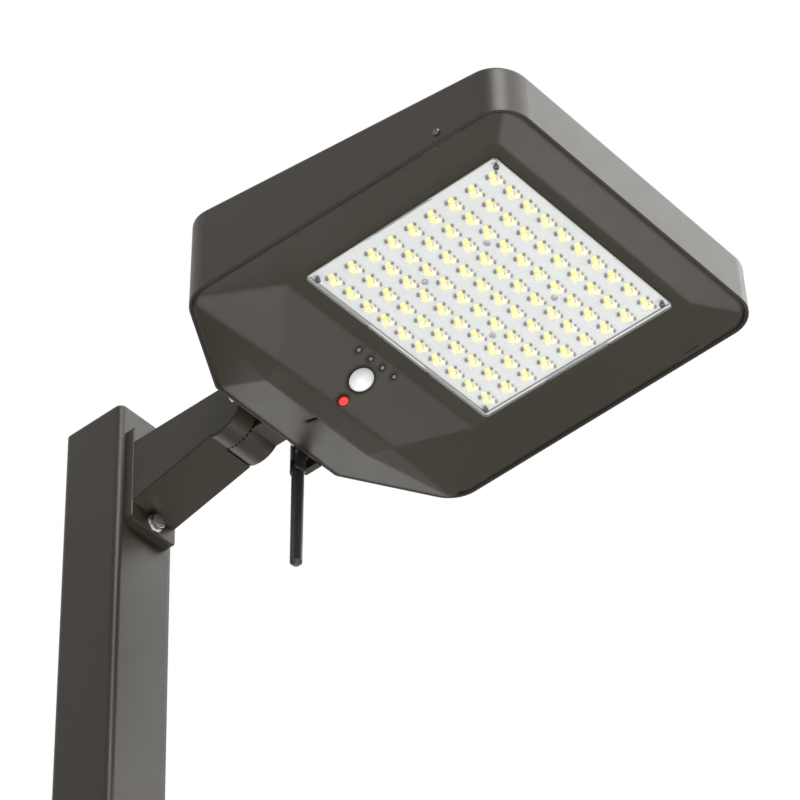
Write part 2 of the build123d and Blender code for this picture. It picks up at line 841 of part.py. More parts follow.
def solar_backsheet():
    """White sheet under the cells, with a hole for the leads."""
    sheet = on_roof(recess_depth, backsheet_thick, panel_along, panel_across)
    return sheet - roof_plane(recess_depth) * Pos(panel_middle_x(), 0, 0) * Cylinder(grommet_bore_r, 4)


def solar_cells():
    """Square cells with cropped corners, in rows and columns."""
    pitch_x = (panel_along - 2 * cell_border + cell_gap) / cells_each_way
    pitch_y = (panel_across - 2 * cell_border + cell_gap) / cells_each_way
    middle = (cells_each_way - 1) / 2
    half_x = (pitch_x - cell_gap) / 2
    half_y = (pitch_y - cell_gap) / 2
    corner = [(half_x, half_y - cell_corner), (half_x - cell_corner, half_y)]
    ring = corner + [(-x, y) for x, y in reversed(corner)]
    ring += [(x, -y) for x, y in reversed(ring)]
    cell = extrude(make_face(Polyline(*ring, close=True)), cell_thick)
    base = roof_plane(recess_depth - backsheet_thick)
    places = [(i - middle, j - middle) for i in range(cells_each_way) for j in range(cells_each_way)]
    return [base * Pos(panel_middle_x() + i * pitch_x, j * pitch_y, 0) * cell for i, j in places]


def solar_glass():
    """Tempered glass over the cells."""
    return on_roof(glass_thick, glass_thick, panel_along, panel_across)


def panel_seal():
    """Rubber frame between the panel and the roof's recess."""
    size = (panel_along + 2 * panel_seal_width, panel_across + 2 * panel_seal_width)
    outer = on_roof(recess_depth, recess_depth, *size)
    return outer - on_roof(recess_depth + 1, recess_depth + 2, panel_along, panel_across)


def roof_grommet():
    """Grommet that leads the panel's wires through the roof."""
    base = roof_plane(recess_depth + roof_skin) * Pos(panel_middle_x(), 0, 0)
    up = (Align.CENTER, Align.CENTER, Align.MIN)
    down = (Align.CENTER, Align.CENTER, Align.MAX)
    plug = base * Cylinder(grommet_r - thread_fit, roof_skin, align=up)
    plug += base * Cylinder(grommet_r + grommet_lip, grommet_lip, align=down)
    return plug - base * Cylinder(grommet_bore_r, 4 * roof_skin)


# Light source

def heat_sink():
    """Finned plate that carries the LED board and covers the opening."""
    rear = plate_rear_x - heat_sink_margin
    front = plate_front_x + heat_sink_margin
    sink = beam((rear, -heat_sink_half, board_top), (front, heat_sink_half, board_top + heat_sink_base))
    pitch = (2 * heat_sink_half - fin_thick) / (fin_count - 1)
    for fin in range(fin_count):
        y = -heat_sink_half + fin * pitch
        sink += beam((rear, y, board_top), (front, y + fin_thick, board_top + heat_sink_height))
    for x, y in [*lens_screw_places(), *board_screw_places()]:
        sink -= rod((x, y, board_top - 1), (x, y, board_top + lens_screw_bite + 1), lens_screw_r + thread_fit)
    return sink


def led_board():
    """White circuit board of the light."""
    inset = lens_margin + board_gap
    half = plate_half - inset
    board = beam((plate_rear_x + inset, -half, board_low), (plate_front_x - inset, half, board_top))
    for x, y in [*lens_screw_places(), *board_screw_places()]:
        board -= rod((x, y, board_low - 1), (x, y, board_top + 1), lens_screw_r + small_hole_gap)
    return board


def led_chips():
    """One square chip under every lens."""
    half = chip_side / 2
    return [beam((x - half, y - half, chip_low), (x + half, y + half, board_low)) for x, y in led_places()]


def lens_plate():
    """Clear moulded plate with a two-lobed lens over every chip."""
    outline = RectangleRounded(plate_length, 2 * plate_half, lens_plate_corner)
    plate = extrude(Pos(plate_mid_x, 0, lens_plate_low) * outline, lens_plate_thick)
    sphere_r = (lens_dome_r ** 2 + lens_dome_height ** 2) / (2 * lens_dome_height)
    rise = sphere_r - lens_dome_height
    lobes = [Pos(0, side * lens_lobe_offset, rise) * Sphere(sphere_r) for side in (-1, 1)]
    down = (Align.CENTER, Align.CENTER, Align.MAX)
    reach = 4 * sphere_r
    lens = (lobes[0] + lobes[1]) & Box(reach, reach, reach, align=down)
    domes = [Pos(x, y, lens_plate_low) * lens for x, y in led_places()]
    plate = plate.fuse(*[dome.solid() for dome in domes])
    pocket = Cylinder(lens_pocket_r, lens_pocket_depth, align=down)
    pockets = [Pos(x, y, lens_plate_top) * pocket for x, y in led_places()]
    holes = [rod((x, y, lens_plate_low - 1), (x, y, lens_plate_top + 1), lens_screw_r + small_hole_gap)
             for x, y in lens_screw_places()]
    notches = [(x, side * plate_half) for x, _ in board_screw_places() for side in (-1, 1)]
    notches += [(x, side * notch_half) for x in (plate_rear_x, plate_front_x) for side in (-1, 1)]
    cuts = [rod((x, y, lens_plate_low - 1), (x, y, lens_plate_top + 1), notch_r) for x, y in notches]
    return plate.cut(*[shape.solid() for shape in pockets + holes + cuts])


def lens_gasket():
    """Seal between the lens plate and the cover's ledge."""
    inset = lens_margin - lens_seal_width
    outer = RectangleRounded(plate_length - 2 * inset, 2 * plate_half - 2 * inset, lens_plate_corner - inset)
    inner = Rectangle(plate_length - 2 * lens_margin, 2 * plate_half - 2 * lens_margin)
    return extrude(Pos(plate_mid_x, 0, lens_plate_top) * (outer - inner), lens_seal_thick)


def lens_screws():
    """Screws through the corners of the lens plate and the board into the heat sink."""
    length = board_top + lens_screw_bite - lens_plate_low
    sizes = (lens_screw_r, lens_screw_head_r, lens_screw_head, length)
    return [pan_screw((x, y, lens_plate_low), (0, 0, -1), *sizes) for x, y in lens_screw_places()]


def board_screws():
    """Flat screws that hold the middle of the board to the heat sink."""
    sizes = (lens_screw_r, board_screw_head_r, board_screw_head, board_thick + lens_screw_bite)
    return [pan_screw((x, y, board_low), (0, 0, -1), *sizes) for x, y in board_screw_places()]


# Battery and charge controller

def battery_box():
    """Corners of the space that the cells fill, in plan."""
    length = battery_rows * (2 * cell_r + battery_spare)
    half = battery_columns * (battery_length + battery_spare) / 2
    rear = rear_x + battery_from_rear
    return rear, rear + length, half


def tray_screw_places():
    """Plan position of the tray's screws, over the cover's posts and between two rows of cells."""
    pitch = 2 * cell_r + battery_spare
    rows = ((rear_post_row, rear_post_y), (front_post_row, front_post_y))
    rear, _, _ = battery_box()
    return [(rear + row * pitch, side * y) for row, y in rows for side in (-1, 1)]


def battery_tray():
    """Tray on the cover's posts, with a lip in front and behind the cells."""
    rear, front, half = battery_box()
    rear -= tray_margin
    front += tray_margin
    tray = beam((rear, -half, tray_z), (front, half, tray_z + tray_thick))
    for x in (rear, front - tray_thick):
        tray += beam((x, -half, tray_z), (x + tray_thick, half, tray_z + tray_lip))
    for x, y in tray_screw_places():
        tray -= rod((x, y, tray_z - 1), (x, y, tray_z + tray_thick + 1), tray_screw_r + bolt_hole_gap)
    return tray


def tray_screws():
    """Screws that hold the tray on the posts, between the cells."""
    seat = tray_z + tray_thick
    sizes = (tray_screw_r, post_screw_head_r, post_screw_head, tray_thick + tray_screw_length)
    return [pan_screw((x, y, seat), (0, 0, 1), *sizes) for x, y in tray_screw_places()]


def cell_places():
    """Centre of every battery cell."""
    rear, _, half = battery_box()
    pitch = 2 * cell_r + battery_spare
    step = battery_length + battery_spare
    z = tray_z + tray_thick + cell_r
    for row in range(battery_rows):
        for column in range(battery_columns):
            yield rear + (row + 0.5) * pitch, -half + (column + 0.5) * step, z


def battery_cells():
    """Round cells that lie across the head."""
    half = battery_length / 2
    return [rod((x, y - half, z), (x, y + half, z), cell_r) for x, y, z in cell_places()]


def battery_straps():
    """Two bands over the cells, down to the tray's lips."""
    rear, front, half = battery_box()
    low = tray_z + tray_thick
    top = low + 2 * cell_r
    straps = []
    for y in (-strap_half, strap_half):
        start = rear - tray_margin
        end = front + tray_margin
        band = beam((start - strap_thick, y - strap_width / 2, tray_z),
                    (end + strap_thick, y + strap_width / 2, top + strap_thick))
        straps.append(band - beam((start, y - strap_width, tray_z - 1), (end, y + strap_width, top)))
    return straps


def charge_controller():
    """Sealed box with a foot at each end, hung from the roof's bosses."""
    long_side, short_side, high = controller_size
    top = controller_top()
    middle = plate_mid_x + controller_from_middle
    half_x = long_side / 2
    half_y = short_side / 2
    box_top = top - controller_foot_thick / 2
    box = beam((middle - half_x, -half_y, top - high), (middle + half_x, half_y, box_top))
    box = fillet(box.edges().filter_by(Axis.Z), controller_edge_r)
    feet_low = top - controller_foot_thick
    reach = half_x + controller_foot
    box += beam((middle - reach, -half_y, feet_low), (middle + reach, half_y, top))
    for x, y in controller_feet():
        box -= rod((x, y, feet_low - 1), (x, y, top + 1), controller_screw_r + small_hole_gap)
    return box


def controller_screws():
    """Screws that hold the controller to the bosses."""
    seat = controller_top() - controller_foot_thick
    length = controller_foot_thick + controller_screw_bite
    sizes = (controller_screw_r, tray_screw_head_r, tray_screw_head, length)
    return [pan_screw((x, y, seat), (0, 0, -1), *sizes) for x, y in controller_feet()]


# Sensor, indicators and button

def indicator_ys():
    """Y of every indicator."""
    return [(i - (indicator_count - 1) / 2) * indicator_pitch for i in range(indicator_count)]


def disc(plane, radius, low, high):
    """Round slice of a frame's z axis."""
    grow = (Align.CENTER, Align.CENTER, Align.MIN)
    return plane * Pos(0, 0, low) * Cylinder(radius, high - low, align=grow)


def indicator_lenses():
    """Light guides of the indicators, each with a collar behind the cover."""
    guides = []
    for y in indicator_ys():
        place = sensor_plane(indicator_at, y)
        guide = disc(place, indicator_r, -panel_skin - indicator_depth, indicator_proud)
        guides.append(guide + disc(place, indicator_collar_r, -panel_skin - indicator_collar, -panel_skin))
    return guides


def indicator_board():
    """Small circuit board behind the light guides."""
    place = sensor_plane(indicator_at, depth=panel_skin + indicator_depth)
    down = (Align.CENTER, Align.CENTER, Align.MAX)
    width = indicator_pitch * indicator_count
    return place * Box(2 * indicator_collar_r, width, circuit_thick, align=down)


def dome_shape(place, radius, height, low):
    """Round plug with a domed end, on the outside of the sensor panel."""
    sphere_r = (radius ** 2 + height ** 2) / (2 * height)
    ball = place * Pos(0, 0, height - sphere_r) * Sphere(sphere_r)
    return (ball & disc(place, radius, 0, height + 1)) + disc(place, radius, low, 0)


def pir_lens():
    """White dome of the motion sensor, with a flange behind the cover."""
    place = sensor_plane(sensor_at)
    back = -panel_skin - sensor_flange_thick
    lens = dome_shape(place, sensor_lens_r, sensor_dome, back)
    lens += disc(place, sensor_lens_r + sensor_seal + sensor_flange, back, -panel_skin)
    hollow = dome_shape(place, sensor_lens_r - sensor_dome_wall, sensor_dome - sensor_dome_wall, back)
    return lens - hollow


def pir_seal():
    """Dark ring between the sensor's dome and the cover."""
    place = sensor_plane(sensor_at)
    outer = disc(place, sensor_lens_r + sensor_seal, -panel_skin, sensor_seal_proud)
    return outer - disc(place, sensor_lens_r, -panel_skin - 1, sensor_seal_proud + 1)


def pir_holder():
    """Cup behind the dome that carries the sensor's board."""
    place = sensor_plane(sensor_at)
    back = -panel_skin - sensor_flange_thick
    outer_r = sensor_lens_r + sensor_seal + sensor_flange
    cup = disc(place, outer_r, back - sensor_holder_depth, back)
    return cup - disc(place, outer_r - sensor_dome_wall * 2, back - sensor_holder_depth - 1, back + 1)


def pir_sensor():
    """Sensor can on its round board."""
    place = sensor_plane(sensor_at)
    low = -panel_skin - sensor_flange_thick - sensor_holder_depth
    board = disc(place, sensor_lens_r + sensor_seal, low - circuit_thick, low)
    return board + disc(place, sensor_can_r, low, low + sensor_can)


def switch_body():
    """Round body of the push switch, against the inside of the cover."""
    place = sensor_plane(button_at)
    outer_r = button_r + button_gap + switch_wall
    body = disc(place, outer_r, -panel_skin - switch_depth, -panel_skin)
    body -= disc(place, button_r + button_gap, -panel_skin - button_depth - button_travel - 1, 1)
    return body - disc(place, button_stem_r + button_gap, -panel_skin - switch_depth + 2, 1)


def power_button():
    """Red cap with its stem, which travels into the switch."""
    place = sensor_plane(button_at)
    cap = disc(place, button_r, -panel_skin - button_depth, button_proud)
    top = cap.edges().sort_by(lambda e: (e.center() - place.origin).dot(place.z_dir))[-1]
    cap = fillet(top, 1.2)
    stem_low = -panel_skin - switch_depth + 2 + button_travel + 1
    return cap + disc(place, button_stem_r, stem_low, -panel_skin - button_depth)


# Antenna

def ear_screw_zs():
    """Heights of the two screws in the ear's foot."""
    quarter = (ear_foot_high - ear_foot_low) / 4
    return ear_foot_low + quarter, ear_foot_high - quarter


def ear_screw_y():
    """Y of the screws in the ear's foot."""
    return ear_far_y + ear_foot / 2


def antenna_bracket():
    """Ear that stands off the neck's rear wall, with a foot beside it."""
    ear = beam((elbow_x - ear_behind_elbow, ear_near_y, ear_low), (neck_x, ear_far_y, ear_high))
    ear = chamfer(ear.edges().filter_by(Axis.Y).sort_by(Axis.X)[:2], ear_bevel)
    foot_low = (neck_x - ear_foot_thick, ear_far_y - 1, ear_foot_low)
    ear += beam(foot_low, (neck_x, ear_far_y + ear_foot, ear_foot_high))
    ear -= rod((elbow_x, ear_near_y - 1, elbow_z), (elbow_x, ear_far_y + 1, elbow_z), stub_r + thread_fit)
    for z in ear_screw_zs():
        hole = (neck_x - ear_foot_thick - 1, ear_screw_y(), z), (neck_x + 1, ear_screw_y(), z)
        ear -= rod(*hole, ear_screw_r + small_hole_gap)
    return ear


def antenna_bracket_screws():
    """Two screws of the ear's foot."""
    sizes = (ear_screw_r, ear_screw_head_r, ear_screw_head, ear_foot_thick + pad_depth / 2 - 1)
    seat_x = neck_x - ear_foot_thick
    return [pan_screw((seat_x, ear_screw_y(), z), (-1, 0, 0), *sizes) for z in ear_screw_zs()]


def antenna_connector():
    """Threaded connector through the ear, with its nut on the far side."""
    tail_end = ear_far_y + connector_nut + connector_tail
    body = rod((elbow_x, ear_near_y - stub_length, elbow_z), (elbow_x, tail_end, elbow_z), stub_r)
    return body + hex_prism((elbow_x, ear_far_y, elbow_z), (0, 1, 0), connector_nut_flats, connector_nut)


def leaned(shape):
    """Antenna piece, turned on the connector by the lean at which it was left."""
    return shape.rotate(Axis((elbow_x, elbow_y, elbow_z), (0, 1, 0)), whip_lean)


def antenna_base():
    """Elbow that turns on the connector and hangs down to a fork for the whip's tongue."""
    start = ear_near_y - elbow_face_gap
    base = rod((elbow_x, elbow_y, pin_z), (elbow_x, elbow_y, elbow_z + antenna_base_top), antenna_base_r)
    base = fillet(base.edges().sort_by(Axis.Z)[-1], antenna_base_edge)
    reach = antenna_base_r + 2
    cheeks = rod((elbow_x, elbow_y, pin_z - reach), (elbow_x, elbow_y, pin_z), antenna_base_r)
    base += cheeks & rod((elbow_x - reach, elbow_y, pin_z), (elbow_x + reach, elbow_y, pin_z), antenna_base_r)
    base += rod((elbow_x, elbow_y, elbow_z), (elbow_x, start, elbow_z), antenna_neck_r)
    slot_half = tongue_thick / 2 + tongue_gap
    low = (elbow_x - slot_half, elbow_y - reach, pin_z - reach)
    base -= beam(low, (elbow_x + slot_half, elbow_y + reach, pin_z + tongue_r + 2 * tongue_gap))
    base -= rod((elbow_x - reach, elbow_y, pin_z), (elbow_x + reach, elbow_y, pin_z), elbow_pin_r)
    bore_end = ear_near_y - stub_length - elbow_face_gap
    base -= rod((elbow_x, bore_end, elbow_z), (elbow_x, start + 1, elbow_z), stub_r + stub_fit)
    return leaned(base)


def antenna_pin():
    """Pin of the elbow's fork."""
    half = sqrt(antenna_base_r ** 2 - elbow_pin_r ** 2) - elbow_pin_inset
    return leaned(rod((elbow_x - half, elbow_y, pin_z), (elbow_x + half, elbow_y, pin_z), elbow_pin_r))


def antenna_whip():
    """Whip with its tongue in the fork; it tapers a little to a bevelled tip."""
    shoulder = antenna_base_r + shoulder_gap
    tip = whip_length - elbow_pin_drop
    top = (whip_r - whip_bevel, -shoulder), (whip_r, -shoulder - whip_bevel)
    end = (whip_tip_r, -tip + whip_tip_bevel), (whip_tip_r - whip_tip_bevel, -tip)
    profile = [(0, -shoulder), *top, *end, (0, -tip)]
    wire = Polyline(*[(r, 0, z) for r, z in profile], close=True)
    whip = revolve(make_face(wire), Axis.Z)
    half = tongue_thick / 2
    tongue = rod((-half, 0, 0), (half, 0, 0), tongue_r)
    tongue += beam((-half, -tongue_r, -shoulder - 2), (half, tongue_r, 0))
    whip += tongue
    whip -= rod((-whip_r, 0, 0), (whip_r, 0, 0), elbow_pin_r + elbow_pin_fit)
    return leaned(Pos(elbow_x, elbow_y, pin_z) * whip)


def save(name, shape, lift):
    """Write one sub-part, lifted to its height; a list is a group of separate solids."""
    if isinstance(shape, list):
        raised = [Pos(0, 0, lift) * solid for piece in shape for solid in piece.solids()]
        shape = Compound(children=raised)
    else:
        shape = Pos(0, 0, lift) * shape
    export_step(shape, f"parts/{name}.step")


on_ground = {
    "pole": pole,
    "base_plate": base_plate,
    "pole_cap": pole_cap,
    "hand_hole_cover": hand_hole_cover,
    "hand_hole_screws": hand_hole_screws,
}
at_height = {
    "mounting_arm": mounting_arm,
    "plate_bolts": plate_bolts,
    "plate_washers": plate_washers,
    "backing_bar": backing_bar,
    "pivot_bolt": pivot_bolt,
    "pivot_washer": pivot_washer,
    "head_bracket": head_bracket,
    "bracket_bolts": bracket_bolts,
    "bracket_washers": bracket_washers,
    "upper_housing": upper_housing,
    "rim_gasket": rim_gasket,
    "bottom_cover": bottom_cover,
    "side_screws": side_screws,
    "solar_backsheet": solar_backsheet,
    "solar_cells": solar_cells,
    "solar_glass": solar_glass,
    "panel_seal": panel_seal,
    "roof_grommet": roof_grommet,
    "heat_sink": heat_sink,
    "led_board": led_board,
    "led_chips": led_chips,
    "lens_plate": lens_plate,
    "lens_gasket": lens_gasket,
    "lens_screws": lens_screws,
    "board_screws": board_screws,
    "battery_tray": battery_tray,
    "tray_screws": tray_screws,
    "battery_cells": battery_cells,
    "battery_straps": battery_straps,
    "charge_controller": charge_controller,
    "controller_screws": controller_screws,
    "indicator_lenses": indicator_lenses,
    "indicator_board": indicator_board,
    "pir_lens": pir_lens,
    "pir_seal": pir_seal,
    "pir_holder": pir_holder,
    "pir_sensor": pir_sensor,
    "switch_body": switch_body,
    "power_button": power_button,
    "antenna_bracket": antenna_bracket,
    "antenna_bracket_screws": antenna_bracket_screws,
    "antenna_connector": antenna_connector,
    "antenna_base": antenna_base,
    "antenna_pin": antenna_pin,
    "antenna_whip": antenna_whip,
}

for name, make in on_ground.items():
    save(name, make(), 0)
for name, make in at_height.items():
    save(name, make(), led_z)
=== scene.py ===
import json
import math

import bmesh
import bpy
from mathutils import Matrix, Vector


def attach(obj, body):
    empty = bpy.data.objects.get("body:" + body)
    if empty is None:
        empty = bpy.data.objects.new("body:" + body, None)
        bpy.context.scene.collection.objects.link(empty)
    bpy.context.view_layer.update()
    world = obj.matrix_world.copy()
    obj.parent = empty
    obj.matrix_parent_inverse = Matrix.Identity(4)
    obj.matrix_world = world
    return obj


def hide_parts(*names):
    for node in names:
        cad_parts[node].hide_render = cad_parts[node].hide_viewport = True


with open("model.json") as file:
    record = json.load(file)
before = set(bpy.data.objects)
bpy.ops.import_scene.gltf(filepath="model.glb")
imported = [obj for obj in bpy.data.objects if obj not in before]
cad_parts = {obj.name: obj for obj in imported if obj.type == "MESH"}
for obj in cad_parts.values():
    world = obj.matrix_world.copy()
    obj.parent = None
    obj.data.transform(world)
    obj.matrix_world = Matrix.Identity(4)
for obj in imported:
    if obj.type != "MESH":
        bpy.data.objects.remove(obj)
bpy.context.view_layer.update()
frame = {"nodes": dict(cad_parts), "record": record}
nodes = frame["nodes"]
scene = bpy.context.scene

MM = 0.001

# Height of the LED plane above the base plate's underside, in metres
LED_Z = 3.5448

# Plan places, in metres, of the posts and lugs behind the thin bottom cover, on each side of the
# middle. Near them its edges have a small radius, as a larger one reaches them through the cover.
POSTS = ((0.419, 0.132), (0.353, 0.078), (0.749, 0.236))
POST_RADIUS = 0.0025
POST_NEAR = 0.019
POST_PAST = 0.032

# Camera: solved from the pole's edges and the LED grid, for an 800 x 800 image
FOCAL_PX = 3886.2
IMAGE_PX = 800
SENSOR_MM = 36.0
EYE = Vector((2.69114, -2.66235, 0.28529))
RIGHT = Vector((0.75425118, 0.65614146, -0.02415643))
DOWN = Vector((-0.45673157, 0.49788267, -0.73723071))
AHEAD = Vector((-0.47170057, 0.56709014, 0.67520911))

lens = bpy.data.cameras.new("camera")
lens.sensor_width = SENSOR_MM
lens.lens = FOCAL_PX / IMAGE_PX * SENSOR_MM
lens.clip_start = 0.01
lens.clip_end = 100.0
camera = bpy.data.objects.new("camera", lens)
scene.collection.objects.link(camera)
turn = Matrix((RIGHT, -DOWN, -AHEAD)).transposed().to_4x4()
camera.matrix_world = Matrix.Translation(EYE) @ turn
scene.camera = camera
scene.view_settings.view_transform = "Standard"


# Material helpers

def start(name):
    """New node material and its parts."""
    mat = bpy.data.materials.new(name)
    mat.use_nodes = True
    tree = mat.node_tree
    return mat, tree, tree.nodes["Principled BSDF"]


def place(tree):
    """Object coordinates, which are the part's own metres."""
    return tree.nodes.new("ShaderNodeTexCoord").outputs["Object"]


def noise(tree, scale, detail=3.0, stretch=None):
    """Noise of about 1/scale metres."""
    node = tree.nodes.new("ShaderNodeTexNoise")
    node.inputs["Scale"].default_value = scale
    node.inputs["Detail"].default_value = detail
    where = place(tree)
    if stretch:
        squeeze = tree.nodes.new("ShaderNodeMapping")
        squeeze.inputs["Scale"].default_value = stretch
        tree.links.new(where, squeeze.inputs["Vector"])
        where = squeeze.outputs["Vector"]
    tree.links.new(where, node.inputs["Vector"])
    return node.outputs[0]


def ramp(tree, value, low, high, from_low=0.3, from_high=0.7):
    """Value carried over from one span to another."""
    node = tree.nodes.new("ShaderNodeMapRange")
    node.inputs["From Min"].default_value = from_low
    node.inputs["From Max"].default_value = from_high
    node.inputs["To Min"].default_value = low
    node.inputs["To Max"].default_value = high
    tree.links.new(value, node.inputs["Value"])
    return node.outputs["Result"]


def blend(tree, share, first, second):
    """Mix of two colours; either may be a socket."""
    node = tree.nodes.new("ShaderNodeMix")
    node.data_type = "RGBA"
    tree.links.new(share, node.inputs[0])
    for slot, colour in ((6, first), (7, second)):
        if isinstance(colour, bpy.types.NodeSocket):
            tree.links.new(colour, node.inputs[slot])
        else:
            node.inputs[slot].default_value = (*colour, 1.0)
    return node.outputs[2]


def maths(tree, what, first, second):
    """One sum on sockets or numbers."""
    node = tree.nodes.new("ShaderNodeMath")
    node.operation = what
    for slot, value in enumerate((first, second)):
        if isinstance(value, bpy.types.NodeSocket):
            tree.links.new(value, node.inputs[slot])
        else:
            node.inputs[slot].default_value = value
    return node.outputs[0]


def bump(tree, height, depth, strength=1.0, under=None):
    """Normal from a height map."""
    node = tree.nodes.new("ShaderNodeBump")
    node.inputs["Distance"].default_value = depth
    node.inputs["Strength"].default_value = strength
    tree.links.new(height, node.inputs["Height"])
    if under is not None:
        tree.links.new(under, node.inputs["Normal"])
    return node.outputs["Normal"]


def shrunk_radius(tree, radius, posts):
    """Edge radius that shrinks near the posts."""
    split = tree.nodes.new("ShaderNodeSeparateXYZ")
    tree.links.new(place(tree), split.inputs[0])
    smallest = radius
    for x, y in posts:
        along = maths(tree, "SUBTRACT", split.outputs["X"], x)
        across = maths(tree, "SUBTRACT", maths(tree, "ABSOLUTE", split.outputs["Y"], 0.0), y)
        square = maths(tree, "ADD", maths(tree, "MULTIPLY", along, along),
                       maths(tree, "MULTIPLY", across, across))
        away = maths(tree, "SQRT", square, 0.0)
        here = ramp(tree, away, POST_RADIUS, radius, POST_NEAR, POST_PAST)
        smallest = maths(tree, "MINIMUM", smallest, here)
    return smallest


def soft_edges(tree, radius, samples, posts):
    """Normal rounded at the edges, and how much it differs from the true one."""
    bevel = tree.nodes.new("ShaderNodeBevel")
    bevel.samples = samples
    if posts:
        tree.links.new(shrunk_radius(tree, radius, posts), bevel.inputs["Radius"])
    else:
        bevel.inputs["Radius"].default_value = radius
    flat = tree.nodes.new("ShaderNodeNewGeometry").outputs["Normal"]
    dot = tree.nodes.new("ShaderNodeVectorMath")
    dot.operation = "DOT_PRODUCT"
    tree.links.new(bevel.outputs["Normal"], dot.inputs[0])
    tree.links.new(flat, dot.inputs[1])
    return bevel.outputs["Normal"], ramp(tree, dot.outputs["Value"], 1.0, 0.0, 0.6, 1.0)


def solid_look(name, colour, rough, metal=0.0, vary=0.12, grain=900.0, depth=0.00006, edge=0.0,
               edge_highlight=1.5, gloss=0.5, patch=14.0, brushed=None, uneven=0.15, samples=4, posts=()):
    """Surface with grain, cloudy colour, uneven gloss and, where edge is given, rounded edges with
    a painted highlight along them.
    """
    mat, tree, bsdf = start(name)
    cloud = ramp(tree, noise(tree, patch, 4.0), 0.0, 1.0)
    dark = tuple(c * (1 - vary) for c in colour)
    pale = tuple(min(1.0, c * (1 + vary)) for c in colour)
    tint = blend(tree, cloud, dark, pale)
    fine = noise(tree, grain, 2.0, brushed)
    rounded = None
    if edge:
        rounded, edge_highlight_mask = soft_edges(tree, edge, samples, posts)
        # Painted highlight: the colour is made lighter, in patches, along edges where the rounded
        # normal turns away from the flat one.
        highlit_edge_tint = tuple(min(1.0, c * edge_highlight) for c in colour)
        patchy = ramp(tree, noise(tree, 60.0), 0.2, 0.9)
        tint = blend(tree, maths(tree, "MULTIPLY", edge_highlight_mask, patchy), tint, highlit_edge_tint)
    tree.links.new(tint, bsdf.inputs["Base Color"])
    smudge = noise(tree, patch * 3.0, 5.0)
    matt = ramp(tree, smudge, rough * (1 - uneven), min(1.0, rough * (1 + uneven)))
    tree.links.new(matt, bsdf.inputs["Roughness"])
    tree.links.new(bump(tree, fine, depth, 0.8, rounded), bsdf.inputs["Normal"])
    bsdf.inputs["Metallic"].default_value = metal
    bsdf.inputs["Specular IOR Level"].default_value = gloss
    return mat


def clear_look(name, tint, haze, rough, see=0.93):
    """Clear moulding: mostly see-through, glossy, and darker where it is seen at a slant."""
    mat, tree, bsdf = start(name)
    out = tree.nodes["Material Output"]
    bsdf.inputs["Base Color"].default_value = (*haze, 1.0)
    matt = ramp(tree, noise(tree, 25.0), rough * 0.7, rough * 1.6)
    tree.links.new(matt, bsdf.inputs["Roughness"])
    normal = bump(tree, noise(tree, 300.0), 0.00002)
    tree.links.new(normal, bsdf.inputs["Normal"])
    weight = tree.nodes.new("ShaderNodeLayerWeight")
    tree.links.new(normal, weight.inputs["Normal"])
    through = tree.nodes.new("ShaderNodeBsdfTransparent")
    slant = maths(tree, "POWER", weight.outputs["Facing"], 3.0)
    rim = (0.8, 0.81, 0.8)
    tree.links.new(blend(tree, slant, tint, rim), through.inputs["Color"])
    mix = tree.nodes.new("ShaderNodeMixShader")
    share = ramp(tree, slant, 1.0 - see, 0.7, 0.0, 1.0)
    tree.links.new(share, mix.inputs[0])
    tree.links.new(through.outputs[0], mix.inputs[1])
    tree.links.new(bsdf.outputs[0], mix.inputs[2])
    tree.links.new(mix.outputs[0], out.inputs["Surface"])
    return mat


def solar_look():
    """Near-black silicon with fine silver fingers across and bus bars along each cell."""
    mat, tree, bsdf = start("solar_cell")
    split = tree.nodes.new("ShaderNodeSeparateXYZ")
    tree.links.new(place(tree), split.inputs[0])
    pitch, bars_each, bar = 0.07333, 5, 0.001
    finger_step, finger = 0.0018, 0.0003

    def lines(coordinate, shift, step, width):
        """Stripes of a width, one each step; the shift keeps the coordinate above zero."""
        steps = maths(tree, "DIVIDE", maths(tree, "ADD", coordinate, shift), step)
        return maths(tree, "LESS_THAN", maths(tree, "FRACT", steps, 0.0), width / step)

    bars = lines(split.outputs["Y"], 10 * pitch + bar / 2, pitch / bars_each, bar)
    fingers = lines(split.outputs["X"], 1.0, finger_step, finger)
    silver = maths(tree, "MAXIMUM", bars, maths(tree, "MULTIPLY", fingers, 0.35))
    crystal = ramp(tree, noise(tree, 90.0, 2.0), 0.0, 1.0)
    tint = blend(tree, crystal, (0.004, 0.007, 0.025), (0.008, 0.014, 0.045))
    tree.links.new(blend(tree, silver, tint, (0.5, 0.52, 0.55)), bsdf.inputs["Base Color"])
    tree.links.new(ramp(tree, crystal, 0.25, 0.4, 0.0, 1.0), bsdf.inputs["Roughness"])
    return mat


